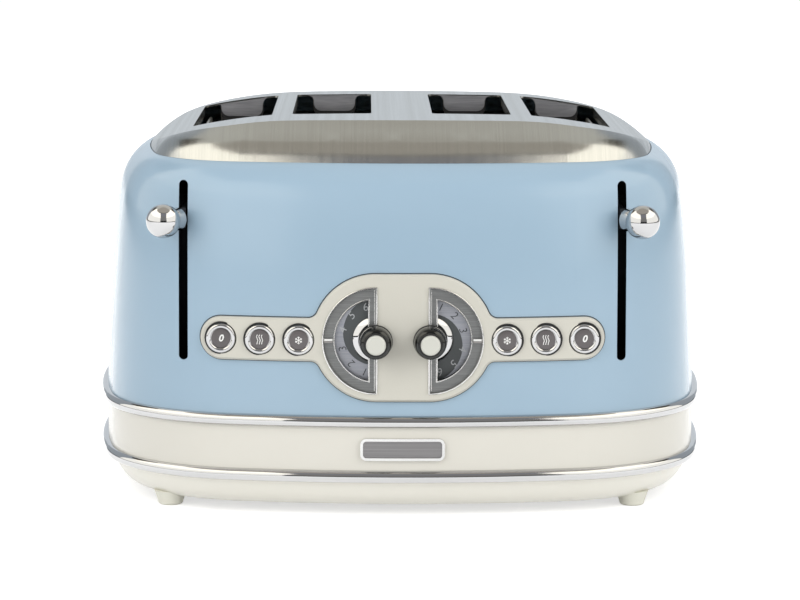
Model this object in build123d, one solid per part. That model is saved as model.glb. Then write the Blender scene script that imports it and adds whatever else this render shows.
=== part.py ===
from build123d import *
from math import cos, radians, sin, sqrt
import os

# Four-slot toaster with two lever sets, in millimetres.
# X runs to the right of the front, Y to the rear and Z up from the table.

# Plan of the body: corner arcs, joined by bowed walls that turn through these angles each side of their middle.
ring_half_width = 156.0
ring_half_depth = 150.0
ring_corner = 80.5
front_turn = 11.4
side_turn = 10.03

# Stack of heights from the table up.
foot_height = 5.0
pan_height = 13.6
ring_height = 6.0
band_height = 21.0
shell_height = 120.5
plate_rise = 19.0

# Walls.
ring_proud = 3.5
ring_lap = 3.0
shell_wall = 1.2
band_wall = 2.2
pan_wall = 2.5
plate_wall = 1.0
sheet = 0.8

# Lean of the shell's wall at even heights, then its shoulder: drop below the seam and inset.
wall_lean = [0.0, 1.5, 3.0, 5.4]
shoulder = [(31.5, 5.4), (25.3, 6.2), (19.2, 7.3), (13.2, 9.1), (7.7, 12.1), (3.1, 16.5), (0.0, 22.5)]

# Rounded underside of the pan: height above its floor and inset from the wall line.
underside = [(0.0, 16.5), (1.8, 10.0), (7.0, 4.7)]
pan_top_inset = 1.2

# Top plate: apron as height above the seam and inset, then the arch as half width and drop.
apron = [(0.0, 0.0), (3.6, 2.0), (7.4, 5.2), (10.8, 10.2), (13.6, 15.6), (16.2, 20.2), (18.4, 24.0), (20.6, 28.0)]
arch = [(45.0, 0.3), (69.0, 1.2), (91.0, 4.0), (107.0, 7.2), (118.0, 11.0), (126.0, 15.5), (131.0, 19.5)]
seam_gap = 0.4
rim_depth = 4.5
rim_width = 4.0

# Bread slots, front to back, and the lips and end tongues under them.
slot_length = 130.0
slot_width = 39.9
slot_pitch = 50.2
slot_first = 35.3
slot_centre_y = 8.0
slot_corner = 2.5
lip_depth = 4.0
tongue_width = 23.0
tongue_depth = 11.0
tongue_corner = 6.0

# Control panel on the front face.
panel_height = 38.0
panel_proud = 2.8
panel_end = 10.1
panel_arm = 10.4
lobe_radius = 30.8
lobe_offset = 13.1
panel_neck = 5.0
panel_edge = 1.0
panel_lap = 1.8
facing_front = 0.8

# Dials.
dial_radius = 25.2
dial_rim = 0.8
dial_band_width = 4.7
window_rim = 0.6
window_inset = 2.9
band_sunk = 1.0
band_plate = 0.9
disc_plate = 0.8
disc_gap = 0.4
disc_clear = 0.4

# Browning knobs.
knob_radius = 7.9
knob_length = 12.2
knob_edge = 0.6
knob_straight = 5.5
knob_taper = 0.5
knob_lip = 1.0
knob_step = 1.2
knob_collar = 5.9
knob_cap_radius = 4.8
knob_cap_length = 3.4
knob_cap_seat = 1.0
knob_cap_round = 1.0
knob_gap = 0.6
shaft_radius = 3.0
shaft_clear = 0.05

# Push buttons.
button_pitch = 18.9
button_first = 50.4
button_drop = 1.2
button_radius = 7.2
button_clear = 0.4
button_proud = 1.6
button_depth = 5.0
button_round = 1.5
button_travel = 2.5
insert_radius = 4.7
insert_sunk = 0.3
insert_depth = 1.4
stem_radius = 2.2
stem_lap = 1.0

# Control boards behind the panel.
board_back = 22.6
board_wall = 1.6
board_half_height = 14.0
board_end = 97.0
board_start = 4.0
switch_size = 6.0
switch_depth = 4.0
dial_case = 16.0
boss_radius = 1.5

# Levers and carriages.
lever_gap = 8.7
lever_drop = 26.9
lever_travel = 62.5
lever_lift = 11.5
lever_slot_width = 4.5
lever_slot_end = 1.75
arm_height = 9.5
arm_wall = 2.5
ball_radius = 8.3
ball_reach = 17.0
neck_root = 5.6
neck_tip = 4.2
neck_gap = 0.6
arm_proud = 1.0
tang_length = 2.2
tang_height = 4.0

# Toasting chamber.
end_room = 5.0
chamber_side = 116.0
chamber_lift = 10.0
chamber_top_gap = 17.5
flange_reach = 42.0
rear_flange = 16.0
flange_side = 9.0
running_gap = 0.5
touch_gap = 0.3

# Carriage, rack, rod and spring.
carriage_wall = 1.5
carriage_gap = 7.7
carriage_height = 40.0
carriage_foot = 14.0
carriage_inner = 28.0
carriage_lap = 5.0
tower_inner = 52.0
rod_inset = 13.0
rod_reach = 10.0
rod_radius = 3.0
bush_size = 14.0
bush_height = 24.0
rack_wall = 1.2
rack_strip = 8.0
prong_length = 24.0
prong_width = 3.0
prong_count = 6
tab_width = 4.0
tab_height = 2.2
tab_side_gap = 0.5
rack_end_gap = 2.0
rack_tail = 6.0
spring_radius = 5.6
spring_wire = 0.7
spring_turns = 10
bracket_size = 16.0

# Holding magnets.
magnet_offset = 62.0
magnet_width = 18.0
magnet_length = 16.0
magnet_reach = 14.0
armature_drop = 14.5
armature_lap = 1.0

# Heaters.
heater_wall = 0.8
heater_first = 10.5
heater_rise = 12.0
heater_height = 110.0
heater_end = 8.0
heater_tab = 6.0
ribbon_width = 1.4
ribbon_wall = 0.3
ribbon_rows = 11
ribbon_margin = 10.0

# Bread guides: wire frames that lean in as the carriage goes down.
guide_offset = 17.0
guide_wire = 0.9
guide_pin = 1.25
guide_pin_clear = 0.08
guide_pivot = 6.0
guide_height = 124.0
guide_wires = 7
guide_margin = 0.6
guide_pin_tail = 2.0

# Crumb trays and their front plates at the rear.
tray_inner = 16.0
tray_width = 90.0
tray_height = 10.0
tray_wall = 1.0
tray_lift = 3.0
tray_margin = 3.0
tray_gap = 1.0
tray_cover = 2.0
tray_cover_lap = 2.4
tray_cover_gap = 0.3
grip_reach = 6.0
grip_height = 3.0
grip_length = 44.0
rail_wall = 2.0
rail_inset = 4.0
rail_end = 36.0

# Posts, screws, feet, gland and badge.
post_radius = 5.0
post_x = 121.0
post_reach = 8.0
screw_radius = 1.5
screw_clear = 0.1
screw_head = 3.4
screw_head_depth = 1.6
screw_length = 16.0
foot_x = 115.0
foot_y = 105.0
foot_bottom_radius = 4.75
foot_top_radius = 8.25
gland_radius = 6.5
gland_flange = 9.0
gland_bore = 3.6
gland_plate = 2.5
gland_tail = 5.0
badge_length = 41.0
badge_height = 10.8
badge_corner = 3.0
badge_rim = 1.3
badge_proud = 1.8
badge_plate_proud = 1.0

# Steps of the search for a height on a curve.
halvings = 30

# Levels that follow from the stack.
pan_top = foot_height + pan_height
lower_ring_top = pan_top + ring_height
band_top = lower_ring_top + band_height
shell_bottom = band_top + ring_height
seam_height = shell_bottom + shell_height
plate_top = seam_height + plate_rise
band_middle = lower_ring_top + band_height / 2

# Half sizes that follow from the plan.
wall_half = ring_half_width - ring_proud
wall_depth = ring_half_depth - ring_proud
wall_corner = ring_corner - ring_proud
seam_inset = shoulder[-1][1]

# Chamber and control places.
tray_bottom = lower_ring_top + tray_lift
chamber_bottom = tray_bottom + tray_height + chamber_lift
chamber_top = plate_top - chamber_top_gap
front_plate_y = slot_centre_y - slot_length / 2 - end_room
rear_plate_y = slot_centre_y + slot_length / 2 + end_room
flange_top = chamber_bottom + sheet
panel_z = shell_bottom + panel_height
button_z = panel_z - button_drop
lever_z = seam_height - lever_drop
panel_half_length = button_first + 2 * button_pitch + panel_end
lever_offset = panel_half_length + lever_gap
carriage_outer = lever_offset + carriage_lap
carriage_bottom = flange_top + running_gap + lever_travel
carriage_front = front_plate_y - sheet - carriage_gap - carriage_wall
rack_top = carriage_bottom + tab_height
rod_y = carriage_front - rod_reach
guide_z = chamber_bottom + guide_pivot
slot_centres = [slot_first, slot_first + slot_pitch]
dial_z = button_z
disc_radius = dial_radius - dial_band_width - window_rim / 2
tray_front_y = front_plate_y + tray_margin
post_places = [(x, y) for y in (front_plate_y - sheet - post_reach, rear_plate_y + sheet + post_reach)
               for x in (-post_x, 0, post_x)]


def plan_arcs():
    """Centre, radius, first angle and swept angle of each arc of the wall's plan, tangent to the next."""
    sin_front, cos_front = sin(radians(front_turn)), cos(radians(front_turn))
    sin_side, cos_side = sin(radians(side_turn)), cos(radians(side_turn))
    across = wall_half + wall_corner * (sin_front - cos_side)
    along = wall_depth + wall_corner * (sin_side - cos_front)
    spread = sin_front * sin_side - (1 - cos_side) * (1 - cos_front)
    front_bow = (across * sin_side - along * (1 - cos_side)) / spread
    side_bow = (along * sin_front - across * (1 - cos_front)) / spread
    x = (front_bow - wall_corner) * sin_front
    y = wall_depth - front_bow + (front_bow - wall_corner) * cos_front
    turn = 90 - front_turn - side_turn
    return {
        "front": [((-x, -y), wall_corner, 180 + side_turn, turn),
                  ((0, front_bow - wall_depth), front_bow, 270 - front_turn, 2 * front_turn),
                  ((x, -y), wall_corner, 270 + front_turn, turn)],
        "right": [((wall_half - side_bow, 0), side_bow, -side_turn, 2 * side_turn)],
        "rear": [((x, y), wall_corner, side_turn, turn),
                 ((0, wall_depth - front_bow), front_bow, 90 - front_turn, 2 * front_turn),
                 ((-x, y), wall_corner, 90 + front_turn, turn)],
        "left": [((side_bow - wall_half, 0), side_bow, 180 - side_turn, 2 * side_turn)],
    }


arcs = plan_arcs()
all_round = ("front", "right", "rear", "left")


def plan_block(grow, bottom, top):
    """Upright block on the wall's plan, grown outwards or inwards all round."""
    edges = [CenterArc((centre[0], centre[1], bottom), radius + grow, start, turn)
             for name in all_round for centre, radius, start, turn in arcs[name]]
    return extrude(Face(Wire(edges)), amount=top - bottom, dir=(0, 0, 1))


def belt(section, parts=all_round):
    """Section, drawn as distance out from the wall line and height, carried round the plan."""
    pieces = []
    for name in parts:
        for centre, radius, start, turn in arcs[name]:
            angle = radians(start)
            upright = Plane(origin=(centre[0], centre[1], 0), x_dir=(cos(angle), sin(angle), 0),
                            z_dir=(sin(angle), -cos(angle), 0))
            axis = Axis((centre[0], centre[1], 0), (0, 0, 1))
            pieces.append(revolve(upright * Pos(radius, 0) * section, axis, turn))
    return pieces[0].fuse(*pieces[1:]) if len(pieces) > 1 else pieces[0]


def rectangle_section(inner, outer, bottom, top):
    return Pos((inner + outer) / 2, (bottom + top) / 2) * Rectangle(outer - inner, top - bottom)


def wall_points(grow=0.0):
    """Points of the shell's outer profile from its foot to the seam."""
    foot_of_shoulder = seam_height - shoulder[0][0]
    step = (foot_of_shoulder - shell_bottom) / (len(wall_lean) - 1)
    points = [(grow - lean, shell_bottom + index * step) for index, lean in enumerate(wall_lean[:-1])]
    return points + [(grow - inset, seam_height - drop) for drop, inset in shoulder]


def inset_at(height):
    """Inset of the shell's outside from the wall line at a height."""
    curve = Spline(wall_points())
    low, high = 0.0, 1.0
    for _ in range(halvings):
        middle = (low + high) / 2
        low, high = (middle, high) if (curve @ middle).Y < height else (low, middle)
    return -(curve @ low).X


def face_point(x, height, grow=0.0):
    """Point on the front face at an x and height, and its outward direction in plan."""
    inset = inset_at(height)
    centre, radius, start, turn = arcs["front"][1]
    if abs(x) > (radius - inset) * sin(radians(turn / 2)):
        centre, radius, start, turn = arcs["front"][2]
    radius += grow - inset
    rise = sqrt(radius**2 - (abs(x) - centre[0])**2)
    side = 1 if x >= 0 else -1
    return Vector(x, centre[1] - rise, height), Vector(side * (abs(x) - centre[0]) / radius, -rise / radius, 0)


board_front = inset_at(button_z) + board_back - wall_depth


def front_cut(sketch):
    """Sketch on the front view, as a block through the front wall alone."""
    return extrude(Plane.XZ.offset(ring_half_depth / 2) * sketch, amount=ring_half_depth)


def box_between(low, high):
    """Block between two corners."""
    size = [b - a for a, b in zip(low, high)]
    return Pos(*[(a + b) / 2 for a, b in zip(low, high)]) * Box(*size)


def rod_along_y(x, z, radius, start, end):
    """Round bar along Y."""
    return Pos(x, (start + end) / 2, z) * Rot(90, 0, 0) * Cylinder(radius, end - start)


def mirrored(side, low, high):
    """Block between two corners given for the right, placed on a side."""
    if side > 0:
        return box_between(low, high)
    return box_between((-high[0], low[1], low[2]), (-low[0], high[1], high[2]))


# Outer casing.

def panel_sketch():
    """Front view of the panel: a wide lobe, with two rounded arms level with the buttons."""
    arms = Pos(0, button_z) * SlotOverall(2 * panel_half_length, 2 * panel_arm)
    lobe = Pos(0, panel_z) * SlotCenterToCenter(2 * lobe_offset, 2 * lobe_radius)
    shape = arms + lobe
    near_neck = [v for v in shape.vertices() if lobe_offset < abs(v.X) < panel_half_length - panel_arm
                 and abs(abs(v.Y - button_z) - panel_arm) < touch_gap]
    return fillet(near_neck, panel_neck)


def make_body_shell():
    points = wall_points()
    ledge = seam_height - rim_depth
    ledge_low = ledge - shell_wall
    inner_end = (-inset_at(ledge_low) - 1.5 * shell_wall, ledge_low)
    inner = [(x - shell_wall, z) for x, z in points if z < ledge_low - 2 * shell_wall] + [inner_end]
    outside, inside = Spline(points), Spline(inner)
    rim = Polyline(points[-1], (-seam_inset, ledge), (-seam_inset - rim_width, ledge),
                   (-seam_inset - rim_width, ledge_low), inner_end)
    foot = Line(inner[0], points[0])
    shell = belt(make_face([outside, rim, inside, foot]))
    shell -= front_cut(offset(panel_sketch(), amount=-panel_lap))
    slot_top = lever_z + arm_height / 2 + lever_lift + lever_slot_end
    slot_bottom = lever_z - arm_height / 2 - lever_travel - lever_slot_end
    slot = Rot(0, 0, 90) * SlotOverall(slot_top - slot_bottom, lever_slot_width)
    for side in (-1, 1):
        shell -= front_cut(Pos(side * lever_offset, (slot_top + slot_bottom) / 2) * slot)
    return shell


def plate_form(wall):
    """The top plate's outer form, or its hollow when a wall is given."""
    edge = -seam_inset - seam_gap - wall
    low = seam_height - rim_depth - 2 * wall
    high = plate_top + plate_rise
    points = [(edge - inset, seam_height + rise - wall) for rise, inset in apron]
    above = Polyline(points[-1], (points[-1][0], high), (edge + rim_width, high),
                     (edge + rim_width, points[0][1]), points[0])
    outside_apron = belt(make_face([Spline(points), above]))
    top = plate_top - wall
    slope = [(x, top - drop) for x, drop in arch]
    ridge = Spline([(-x, z) for x, z in reversed(slope)] + [(0, top)] + slope)
    reach = slope[-1][0] + rim_width
    under = Polyline(slope[-1], (reach, seam_height - wall), (reach, low - rim_depth), (-reach, low - rim_depth),
                     (-reach, seam_height - wall), (-slope[-1][0], slope[-1][1]))
    section = Plane.XZ * make_face([ridge, under])
    vault = extrude(section, amount=ring_half_depth, both=True)
    return (plan_block(edge, low, high) & vault) - outside_apron


def slot_shape(x, grow=0.0):
    size = slot_width + 2 * grow, slot_length + 2 * grow
    return Pos(x, slot_centre_y) * RectangleRounded(*size, slot_corner + grow)


def make_top_plate():
    form = plate_form(0.0)
    plate = form - plate_form(plate_wall)
    slot_centre = slot_centre_y
    for side in (-1, 1):
        for centre in slot_centres:
            x = side * centre
            inner = extrude(slot_shape(x), amount=2 * plate_top)
            lip_top = plate_top - arch_drop(centre + slot_width / 2)
            lip_low = lip_top - plate_wall - lip_depth
            frame = extrude(slot_shape(x, plate_wall), amount=2 * plate_top) - inner
            half_side = slot_width / 2 + 2 * plate_wall
            side_room = box_between((x - half_side, slot_centre - slot_length / 2 + slot_corner, lip_low),
                                    (x + half_side, slot_centre + slot_length / 2 - slot_corner, plate_top))
            plate -= inner
            plate += frame & side_room & form
            plate += end_tongues(x, lip_top) & form
    return plate


def arch_drop(x):
    """Drop of the arch below its top, at a distance from the middle."""
    points = [(0.0, 0.0)] + arch
    for (near, near_drop), (far, far_drop) in zip(points, points[1:]):
        if x <= far:
            return near_drop + (far_drop - near_drop) * (x - near) / (far - near)
    return arch[-1][1]


def end_tongues(x, lip_top):
    """Tabs folded down at both ends of a slot, with round lower corners."""
    low = lip_top - plate_wall - tongue_depth
    shape = Pos(x, (plate_top + low) / 2) * RectangleRounded(tongue_width, plate_top - low, tongue_corner)
    tongues = Part()
    for end in (-1, 1):
        y = slot_centre_y + end * (slot_length / 2 + plate_wall / 2)
        tongues += extrude(Plane.XZ.offset(-y) * shape, amount=plate_wall / 2, both=True)
    return tongues


def make_ring(bottom):
    """Half-round trim belt that laps in behind the walls."""
    half = ring_height / 2
    start = ring_proud - half
    nose = ThreePointArc((start, bottom), (ring_proud, bottom + half), (start, bottom + ring_height))
    top = bottom + ring_height
    back = Polyline((start, top), (-ring_lap, top), (-ring_lap, bottom), (start, bottom))
    return belt(make_face([nose, back]))


def make_base_band():
    band = belt(rectangle_section(-band_wall, 0, lower_ring_top, band_top))
    for side in (-1, 1):
        low = (tray_inner - tray_gap, ring_half_depth / 2, tray_bottom - tray_gap)
        high = (tray_inner + tray_width + tray_gap, 2 * ring_half_depth, tray_bottom + tray_height + tray_gap)
        band -= mirrored(side, low, high)
    band -= rod_along_y(0, band_middle, gland_radius + touch_gap / 2, ring_half_depth / 2, 2 * ring_half_depth)
    return band


def make_base_pan():
    outer = [(-inset, foot_height + rise) for rise, inset in underside] + [(-pan_top_inset, pan_top)]
    inner = [(x - pan_wall, z + pan_wall) for x, z in outer[:-1]] + [(-pan_top_inset - pan_wall, pan_top)]
    middle = (outer[0][0] - 2 * pan_wall, foot_height)
    inside = (inner[0][0] - 2 * pan_wall, foot_height + pan_wall)
    rim = Line(outer[-1], inner[-1])
    bottom = Polyline(inner[0], inside, (inside[0], foot_height), outer[0])
    pan = belt(make_face([Spline(outer), rim, Spline(inner), bottom]))
    pan += plan_block(middle[0] - pan_wall, foot_height, foot_height + pan_wall)
    floor = foot_height + pan_wall
    for x, y in post_places:
        pan += Pos(x, y, (foot_height + chamber_bottom) / 2) * Cylinder(post_radius, chamber_bottom - foot_height)
    rail_top = tray_bottom - touch_gap
    for side in (-1, 1):
        for x in (tray_inner + rail_inset, tray_inner + tray_width - rail_inset - rail_wall):
            low = (x, tray_front_y, floor - pan_wall / 2)
            high = (x + rail_wall, wall_depth - rail_end, rail_top)
            pan += mirrored(side, low, high)
    for x, y in post_places:
        recess = screw_head_depth + screw_clear
        pan -= Pos(x, y, foot_height + recess / 2) * Cylinder(screw_head + screw_clear, recess)
        hole = recess + screw_length
        pan -= Pos(x, y, foot_height + hole / 2) * Cylinder(screw_radius + screw_clear, hole)
    return pan


def make_feet():
    feet = []
    for x in (-foot_x, foot_x):
        for y in (-foot_y, foot_y):
            cone = Cone(foot_bottom_radius, foot_top_radius, foot_height)
            feet.append(Pos(x, y, foot_height / 2) * cone)
    return Compound(feet)


def make_base_screws():
    screws = []
    for x, y in post_places:
        head = Pos(x, y, foot_height + screw_clear + screw_head_depth / 2) * Cylinder(screw_head, screw_head_depth)
        head_top = foot_height + screw_clear + screw_head_depth
        shank = Pos(x, y, head_top + screw_length / 2 - screw_clear) * Cylinder(screw_radius, screw_length - screw_clear)
        screws.append(head + shank)
    return Compound(screws)


def band_layer(inner, outer, part="front"):
    """Layer over the band's wall, at the front or the rear."""
    return belt(rectangle_section(inner, outer, lower_ring_top, band_top), (part,))


def make_badge():
    whole = Pos(0, band_middle) * RectangleRounded(badge_length, badge_height, badge_corner)
    inside = offset(whole, amount=-badge_rim)
    frame = front_cut(whole - inside) & band_layer(0.0, badge_proud)
    plate = front_cut(inside) & band_layer(0.0, badge_plate_proud)
    return frame, plate


# Control panel and dials.

def half_moon(side, radius, inset=0.0):
    """Half disc on the outer side of a dial's centre, with its flat edge moved outwards."""
    circle = Pos(side * lobe_offset, dial_z) * Circle(radius)
    edge = side * (lobe_offset + inset)
    keep = Pos(edge + side * radius, dial_z) * Rectangle(2 * radius, 2 * radius + dial_rim)
    return circle & keep


def body_layer(inner, outer):
    """Layer over the shell's front face."""
    near, far = wall_points(inner), wall_points(outer)
    return belt(make_face([Spline(near), Line(near[-1], far[-1]), Spline(far), Line(far[0], near[0])]), ("front",))


def button_places():
    """Name, x and front face y of each button, the outermost pair first."""
    places = []
    for side, hand in ((-1, "left"), (1, "right")):
        for index, name in enumerate(("defrost", "reheat", "stop")):
            x = side * (button_first + index * button_pitch)
            front = face_point(x, button_z, panel_proud)[0].Y - button_proud
            places.append((f"{hand}_{name}", x, front))
    return places


def make_control_panel():
    panel = front_cut(panel_sketch()) & body_layer(0.0, panel_proud)
    outside = [face for face in panel.faces() if face.normal_at().Y < -facing_front]
    edges = [edge for face in outside for edge in face.edges()]
    rim = [edge for edge in edges if sum(edge.is_same(other) for other in edges) == 1]
    panel = chamfer(rim, panel_edge)
    for side in (-1, 1):
        panel -= front_cut(half_moon(side, dial_radius + dial_rim, -dial_rim))
        panel -= front_cut(Pos(side * lobe_offset, dial_z) * Circle(shaft_radius + touch_gap))
        for x in boss_places():
            start = face_point(x, button_z)[0].Y - panel_proud / 2
            panel += rod_along_y(side * x, button_z, boss_radius, start, board_front)
    for name, x, front in button_places():
        panel -= front_cut(Pos(x, button_z) * Circle(button_radius + button_clear))
    return panel


def boss_places():
    return [button_first + (index + 0.5) * button_pitch for index in range(2)]


def make_gauge_frame(side):
    outer = half_moon(side, dial_radius + dial_rim, -dial_rim) - half_moon(side, dial_radius)
    window = dial_radius - dial_band_width
    inner = half_moon(side, window, window_inset) - half_moon(side, window - window_rim, window_inset + window_rim)
    hole = Pos(side * lobe_offset, dial_z) * Circle(shaft_radius + touch_gap)
    rim = front_cut(outer - hole) & body_layer(touch_gap, panel_proud + 2 * touch_gap)
    edge = front_cut(inner - hole) & body_layer(band_sunk, panel_proud - band_sunk + touch_gap)
    return Compound(list(rim.solids()) + list(edge.solids()))


def make_dial_band(side):
    window = half_moon(side, dial_radius - dial_band_width, window_inset)
    hole = Pos(side * lobe_offset, dial_z) * Circle(shaft_radius + touch_gap)
    shape = half_moon(side, dial_radius) - window - hole
    return front_cut(shape) & body_layer(band_sunk, band_sunk + band_plate)


def disc_front(side):
    """Front face of a number disc: the right one turns behind the left one."""
    step = 0 if side < 0 else disc_plate + disc_gap
    return face_point(lobe_offset, dial_z + disc_radius)[0].Y + disc_clear + step


def make_number_disc(side):
    front = disc_front(side)
    disc = rod_along_y(side * lobe_offset, dial_z, disc_radius, front, front + disc_plate)
    return disc - rod_along_y(side * lobe_offset, dial_z, shaft_radius, front - disc_plate, front + 3 * disc_plate)


def knob_base():
    """Rear face of the browning knobs, just clear of the gauge frames."""
    return face_point(0, dial_z - knob_radius, panel_proud + 2 * touch_gap)[0].Y - knob_gap


def make_browning_knob(side):
    back = knob_base()
    shoulder_height = knob_length - knob_step
    tip = knob_radius - knob_taper
    profile = Polyline((0, 0), (knob_radius - knob_edge, 0), (knob_radius, knob_edge), (knob_radius, knob_straight),
                       (tip, shoulder_height - knob_lip), (tip - knob_lip, shoulder_height),
                       (knob_collar, shoulder_height), (knob_collar, knob_length), (0, knob_length), (0, 0))
    body = revolve(Plane.XY * make_face(profile), Axis.Y, 360)
    body -= Pos(0, knob_length, 0) * Rot(90, 0, 0) * Cylinder(knob_cap_radius, 2 * knob_cap_seat)
    place = Pos(side * lobe_offset, back, dial_z) * Rot(180, 0, 0)
    shaft = rod_along_y(side * lobe_offset, dial_z, shaft_radius, back - knob_length / 2, shaft_end())
    return place * body + shaft


def shaft_end():
    return board_front - switch_depth


def make_knob_cap(side):
    seat = knob_base() - knob_length + knob_cap_seat
    cap = rod_along_y(side * lobe_offset, dial_z, knob_cap_radius, seat - knob_cap_length, seat)
    return fillet(cap.faces().sort_by(Axis.Y)[0].edges(), knob_cap_round)


def make_button(x, front):
    cap = rod_along_y(x, button_z, button_radius, front, front + button_depth)
    cap = fillet(cap.faces().sort_by(Axis.Y)[0].edges(), button_round)
    cap -= rod_along_y(x, button_z, insert_radius, front - insert_depth, front + insert_sunk + insert_depth)
    stem_tip = board_front - switch_depth - touch_gap - button_travel
    return cap + rod_along_y(x, button_z, stem_radius, front + button_depth - stem_lap, stem_tip)


def make_insert(x, front):
    face = front + insert_sunk
    return rod_along_y(x, button_z, insert_radius, face, face + insert_depth)


def make_control_boards():
    solids = []
    for side in (-1, 1):
        low = (board_start, board_front, button_z - board_half_height)
        high = (board_end, board_front + board_wall, button_z + board_half_height)
        solids.append(mirrored(side, low, high))
        case_front = disc_front(1) + disc_plate + disc_gap
        half = dial_case / 2
        case = mirrored(side, (lobe_offset - half, case_front, dial_z - half),
                        (lobe_offset + half, board_front, dial_z + half))
        solids.append(case - rod_along_y(side * lobe_offset, dial_z, shaft_radius + shaft_clear,
                                         case_front - dial_case, shaft_end() + shaft_clear))
    half = switch_size / 2
    for name, x, front in button_places():
        solids.append(box_between((x - half, board_front - switch_depth, button_z - half),
                                  (x + half, board_front, button_z + half)))
    return Compound(solids)


# Levers and carriages.

def neck_start():
    """Distance from the raised lever's face to the neck, which stays clear of the wall when it is lowered."""
    lowest = lever_z - lever_travel - neck_root
    return inset_at(lever_z) - inset_at(lowest) + neck_gap


def make_lever_knob(side):
    point, out = face_point(lever_offset, lever_z)
    root = point + out * neck_start()
    ball = point + out * ball_reach
    length = ball_reach - neck_start()
    plane = Plane(origin=(side * root.X, root.Y, root.Z), z_dir=(side * out.X, out.Y, 0))
    neck = plane * Pos(0, 0, length / 2) * Cone(neck_root, neck_tip, length)
    return neck + Pos(side * ball.X, ball.Y, ball.Z) * Sphere(ball_radius)


def make_arm(side):
    """Flat arm through the wall's slot, with a narrower tang that ends against the knob's bore."""
    face = face_point(lever_offset, lever_z)[0].Y
    half = arm_wall / 2
    arm = mirrored(side, (lever_offset - half, face - arm_proud, lever_z - arm_height / 2),
                   (lever_offset + half, carriage_front, lever_z + arm_height / 2))
    tip = face - neck_start() - tang_length
    arm += mirrored(side, (lever_offset - half, tip, lever_z - tang_height / 2),
                    (lever_offset + half, carriage_front, lever_z + tang_height / 2))
    return arm - make_lever_knob(side)


def make_carriage(side):
    back = carriage_front + carriage_wall
    plate = mirrored(side, (carriage_inner, carriage_front, carriage_bottom),
                     (carriage_outer, back, carriage_bottom + carriage_foot))
    plate += mirrored(side, (tower_inner, carriage_front, carriage_bottom),
                      (carriage_outer, back, carriage_bottom + carriage_height))
    rod_x = lever_offset - rod_inset
    top = carriage_bottom + carriage_height
    bush = mirrored(side, (rod_x - bush_size / 2, rod_y - bush_size / 2, top - bush_height),
                    (rod_x + bush_size / 2, carriage_front, top))
    plate += bush
    half = magnet_width / 2
    armature_z = top - armature_drop
    plate += mirrored(side, (magnet_offset - half, carriage_front - magnet_reach - magnet_length, armature_z),
                      (magnet_offset + half, carriage_front, armature_z + carriage_wall))
    plate -= Pos(side * rod_x, rod_y, top - bush_height / 2) * Cylinder(rod_radius + shaft_clear, 2 * bush_height)
    return plate + make_arm(side)


def make_racks(side):
    start, end = front_plate_y + rack_end_gap, rear_plate_y - rack_end_gap
    racks = []
    for centre in slot_centres:
        low_z = rack_top - rack_wall
        rack = mirrored(side, (centre - rack_strip / 2, start, low_z), (centre + rack_strip / 2, end, rack_top))
        step = (end - start - prong_width) / (prong_count - 1)
        for index in range(prong_count):
            y = start + index * step
            rack += mirrored(side, (centre - prong_length / 2, y, low_z),
                             (centre + prong_length / 2, y + prong_width, rack_top))
        tail = rear_plate_y + sheet + rack_tail
        rack += mirrored(side, (centre - tab_width / 2, carriage_front + carriage_wall, rack_top - tab_height),
                         (centre + tab_width / 2, tail, rack_top))
        racks.append(rack)
    return Compound(racks)


def make_guide_rods():
    top = bracket_z()
    x = lever_offset - rod_inset
    rods = [Pos(side * x, rod_y, (flange_top + top) / 2) * Cylinder(rod_radius, top - flange_top) for side in (-1, 1)]
    return Compound(rods)


def bracket_z():
    return carriage_bottom + carriage_height + lever_lift + running_gap + touch_gap


def make_return_spring(side):
    low = flange_top + touch_gap + spring_wire
    high = carriage_bottom + carriage_height - bush_height - touch_gap - spring_wire
    centre = (side * (lever_offset - rod_inset), rod_y, low)
    path = Helix(pitch=(high - low) / spring_turns, height=high - low, radius=spring_radius, center=centre)
    return sweep(Plane(origin=path @ 0, z_dir=path % 0) * Circle(spring_wire), path=path)


def make_magnets():
    top = carriage_bottom + carriage_height - armature_drop - lever_travel - touch_gap
    half = magnet_width / 2 - armature_lap
    back = carriage_front - magnet_reach
    blocks = [mirrored(side, (magnet_offset - half, back - magnet_length, flange_top), (magnet_offset + half, back, top))
              for side in (-1, 1)]
    return Compound(blocks)


# Toasting chamber.

def plate_slots():
    """Upright slots for the racks' tabs, through both end plates."""
    cuts = Part()
    half = tab_width / 2 + tab_side_gap
    for side in (-1, 1):
        for centre in slot_centres:
            cuts += mirrored(side, (centre - half, front_plate_y - 2 * sheet, flange_top),
                             (centre + half, rear_plate_y + 2 * sheet, rack_top + lever_lift + running_gap))
    return cuts


def guide_places():
    """Side, slot centre and direction of each bread guide, from the middle outwards."""
    return [(side, centre, way) for side in (-1, 1) for centre in slot_centres for way in (-1, 1)]


def pin_holes():
    cuts = Part()
    for side, centre, way in guide_places():
        x = side * (centre + way * guide_offset)
        cuts += rod_along_y(x, guide_z, guide_pin + guide_pin_clear, front_plate_y - 2 * sheet, rear_plate_y + 2 * sheet)
    return cuts


def make_front_plate():
    half = chamber_side + sheet
    y = front_plate_y
    plate = box_between((-half, y - sheet, chamber_bottom), (half, y, chamber_top))
    wide = post_x + flange_side
    plate += box_between((-wide, y - flange_reach, chamber_bottom), (wide, y, flange_top))
    bracket = bracket_z()
    x = lever_offset - rod_inset
    for side in (-1, 1):
        plate += mirrored(side, (x - bracket_size / 2, rod_y - bracket_size / 2, bracket),
                          (x + bracket_size / 2, y, bracket + sheet))
    return plate - plate_slots() - pin_holes()


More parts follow.
